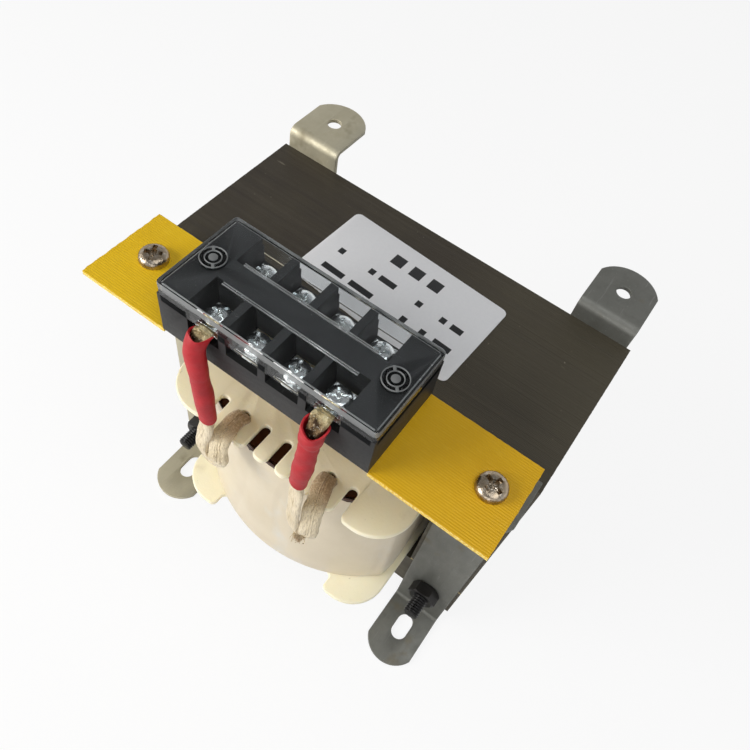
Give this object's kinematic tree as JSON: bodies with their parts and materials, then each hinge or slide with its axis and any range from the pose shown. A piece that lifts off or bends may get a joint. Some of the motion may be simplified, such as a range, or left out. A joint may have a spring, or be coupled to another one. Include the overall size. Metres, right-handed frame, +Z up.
{
  "type": "laminated choke transformer",
  "caption": "EI-core choke with a bobbin-wound coil, standing on four slotted C-shaped brackets, with a covered terminal block on an insulating board.",
  "frame": {"origin": "centre of the four foot slots, on the mounting plane under the feet", "axes": "+Z up along the limbs of the core, +X towards the terminal side, +Y to the right of someone facing that side"},
  "size_m": [0.1247, 0.1333, 0.1531],
  "materials": {
    "core_steel": "silicon steel sheets under brown varnish",
    "shim": "pressboard",
    "bobbin_nylon": "cream moulded nylon",
    "copper": "enamelled copper wire",
    "wrap_film": "off-white polyester film",
    "zinc_sheet": "dull galvanised sheet",
    "black_steel": "black oxide",
    "epoxy_board": "yellow glass-epoxy with fine ridges",
    "nickel": "nickel plate, slightly stained",
    "block_plastic": "black moulded phenolic",
    "tinned_brass": "tinned brass",
    "bright_zinc": "bright zinc plate",
    "clear_cover": "clear polycarbonate",
    "label_film": "silver polyester film",
    "fibreglass_sleeve": "varnished fibreglass braid",
    "red_shrink": "red heat-shrink tube",
    "solder": "tinned copper, darkened with flux"
  },
  "bodies": {
    "root": {"e_stack": "core_steel", "i_stack": "core_steel", "gap_shims": "shim", "bobbin": "bobbin_nylon", "winding": "copper", "coil_wrap": "wrap_film", "bracket_front_left": "zinc_sheet", "bracket_front_right": "zinc_sheet", "bracket_rear_left": "zinc_sheet", "bracket_rear_right": "zinc_sheet", "clamp_bolts": "black_steel", "clamp_nuts": "black_steel", "terminal_board": "epoxy_board", "board_screws": "nickel", "board_nuts": "nickel", "terminal_block": "block_plastic", "terminal_bars": "tinned_brass", "clamp_plates": "bright_zinc", "terminal_screws": "bright_zinc", "block_screws": "bright_zinc", "block_nuts": "bright_zinc", "terminal_cover": "clear_cover", "rating_label": "label_film", "left_sleeve": "fibreglass_sleeve", "left_shrink_tube": "red_shrink", "left_lug": "solder", "right_sleeve": "fibreglass_sleeve", "right_shrink_tube": "red_shrink", "right_lug": "solder"}
  },
  "joints": []
}
